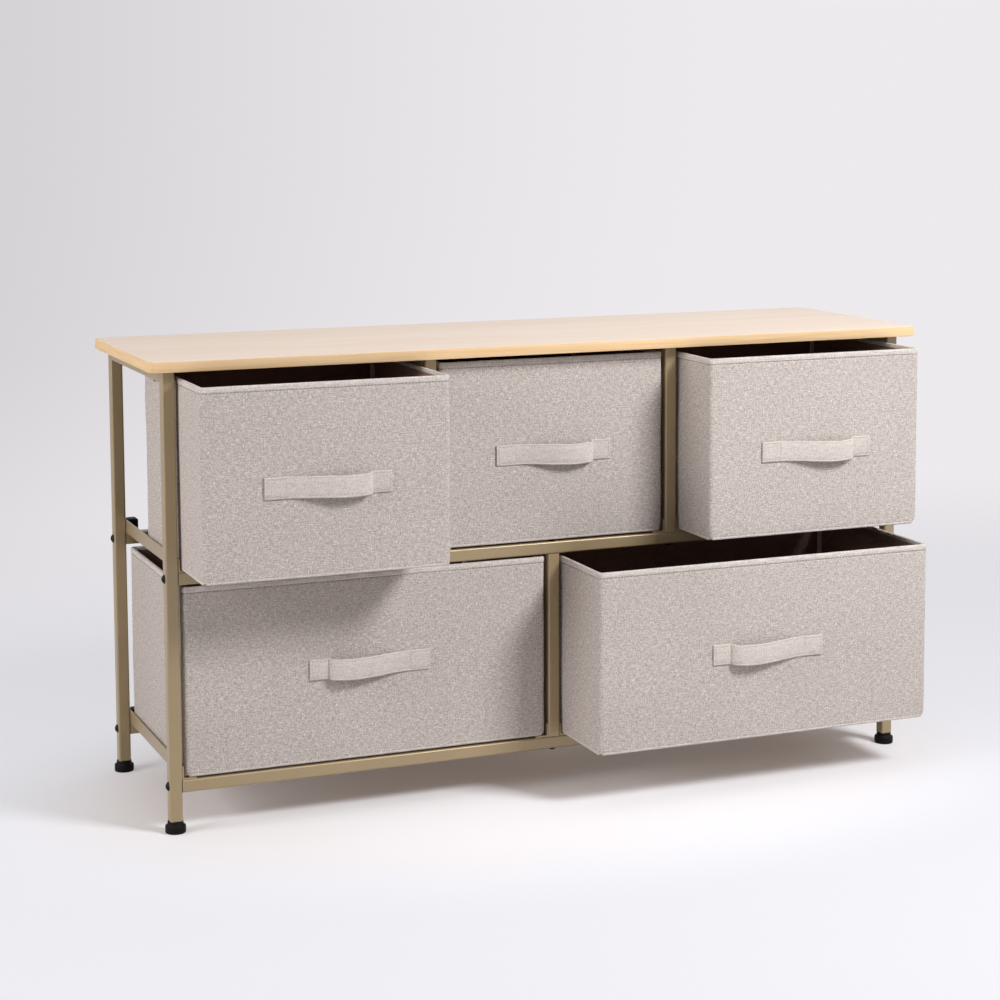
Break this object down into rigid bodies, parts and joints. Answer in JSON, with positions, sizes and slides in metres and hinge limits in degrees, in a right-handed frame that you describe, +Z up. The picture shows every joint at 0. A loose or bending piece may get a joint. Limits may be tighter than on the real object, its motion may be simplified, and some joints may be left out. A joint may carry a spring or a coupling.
{
  "type": "fabric drawer dresser",
  "caption": "Low wide dresser: a pale wood top on a square-tube steel frame, with open-topped fabric drawers that slide on steel angles, and levelling feet.",
  "frame": {"origin": "on the floor, at the middle of the dresser's outline with its drawers open as they stand", "axes": "+X to the right along the length, +Y to the back (the drawers open towards -Y), +Z up"},
  "size_m": [1, 0.4086, 0.55],
  "materials": {
    "wood_board": "pale wood-grain foil with a satin surface",
    "champagne_metal": "champagne gold powder coat, satin",
    "linen_fabric": "grey-beige linen-look fabric with fine flecks",
    "strap_fabric": "same linen-look fabric, folded and stitched",
    "base_board": "dark non-woven cover over thin board",
    "black_plastic": "black moulded plastic",
    "black_bolts": "black oxide steel"
  },
  "bodies": {
    "frame": {"top_board": "wood_board", "left_front_upright": "champagne_metal", "left_rear_upright": "champagne_metal", "left_top_tube": "champagne_metal", "right_front_upright": "champagne_metal", "right_rear_upright": "champagne_metal", "right_top_tube": "champagne_metal", "front_middle_rail": "champagne_metal", "rear_middle_rail": "champagne_metal", "front_bottom_rail": "champagne_metal", "rear_bottom_rail": "champagne_metal", "upper_left_divider_front_post": "champagne_metal", "upper_left_divider_rear_post": "champagne_metal", "upper_left_divider_top_tube": "champagne_metal", "upper_right_divider_front_post": "champagne_metal", "upper_right_divider_rear_post": "champagne_metal", "upper_right_divider_top_tube": "champagne_metal", "lower_divider_front_post": "champagne_metal", "lower_divider_rear_post": "champagne_metal", "top_left_drawer_left_runner": "champagne_metal", "top_left_drawer_right_runner": "champagne_metal", "top_middle_drawer_left_runner": "champagne_metal", "top_middle_drawer_right_runner": "champagne_metal", "top_right_drawer_left_runner": "champagne_metal", "top_right_drawer_right_runner": "champagne_metal", "bottom_left_drawer_left_runner": "champagne_metal", "bottom_left_drawer_right_runner": "champagne_metal", "bottom_right_drawer_left_runner": "champagne_metal", "bottom_right_drawer_right_runner": "champagne_metal", "drawer_stops": "black_plastic", "rail_end_plugs": "black_plastic", "post_end_plugs": "black_plastic", "foot_inserts": "black_plastic", "side_bolts": "black_bolts", "divider_bolts": "black_bolts", "board_screws": "black_bolts"},
    "top_left_drawer": {"top_left_drawer_bin": "linen_fabric", "top_left_drawer_base_board": "base_board", "top_left_drawer_handle": "strap_fabric"},
    "top_middle_drawer": {"top_middle_drawer_bin": "linen_fabric", "top_middle_drawer_base_board": "base_board", "top_middle_drawer_handle": "strap_fabric"},
    "top_right_drawer": {"top_right_drawer_bin": "linen_fabric", "top_right_drawer_base_board": "base_board", "top_right_drawer_handle": "strap_fabric"},
    "bottom_left_drawer": {"bottom_left_drawer_bin": "linen_fabric", "bottom_left_drawer_base_board": "base_board", "bottom_left_drawer_handle": "strap_fabric"},
    "bottom_right_drawer": {"bottom_right_drawer_bin": "linen_fabric", "bottom_right_drawer_base_board": "base_board", "bottom_right_drawer_handle": "strap_fabric"},
    "front_left_foot": {"front_left_foot": "black_plastic"},
    "front_right_foot": {"front_right_foot": "black_plastic"},
    "rear_left_foot": {"rear_left_foot": "black_plastic"},
    "rear_right_foot": {"rear_right_foot": "black_plastic"}
  },
  "joints": [
    {"name": "top_left_drawer_slide", "type": "slide", "parent": "frame", "child": "top_left_drawer", "axis": [0, -1, 0], "range_m": [-0.095, 0.105]},
    {"name": "top_middle_drawer_slide", "type": "slide", "parent": "frame", "child": "top_middle_drawer", "axis": [0, -1, 0], "range_m": [0, 0.2]},
    {"name": "top_right_drawer_slide", "type": "slide", "parent": "frame", "child": "top_right_drawer", "axis": [0, -1, 0], "range_m": [-0.083, 0.117]},
    {"name": "bottom_left_drawer_slide", "type": "slide", "parent": "frame", "child": "bottom_left_drawer", "axis": [0, -1, 0], "range_m": [0, 0.2]},
    {"name": "bottom_right_drawer_slide", "type": "slide", "parent": "frame", "child": "bottom_right_drawer", "axis": [0, -1, 0], "range_m": [-0.109, 0.091]},
    {"name": "front_left_foot_screw", "type": "hinge", "parent": "frame", "child": "front_left_foot", "pos_m": [-0.4745, -0.07265, 0.014], "axis": [0, 0, 1], "range_deg": [0, 1440]},
    {"name": "front_right_foot_screw", "type": "hinge", "parent": "frame", "child": "front_right_foot", "pos_m": [0.4745, -0.07265, 0.014], "axis": [0, 0, 1], "range_deg": [0, 1440]},
    {"name": "rear_left_foot_screw", "type": "hinge", "parent": "frame", "child": "rear_left_foot", "pos_m": [-0.4745, 0.19235, 0.014], "axis": [0, 0, 1], "range_deg": [0, 1440]},
    {"name": "rear_right_foot_screw", "type": "hinge", "parent": "frame", "child": "rear_right_foot", "pos_m": [0.4745, 0.19235, 0.014], "axis": [0, 0, 1], "range_deg": [0, 1440]}
  ]
}
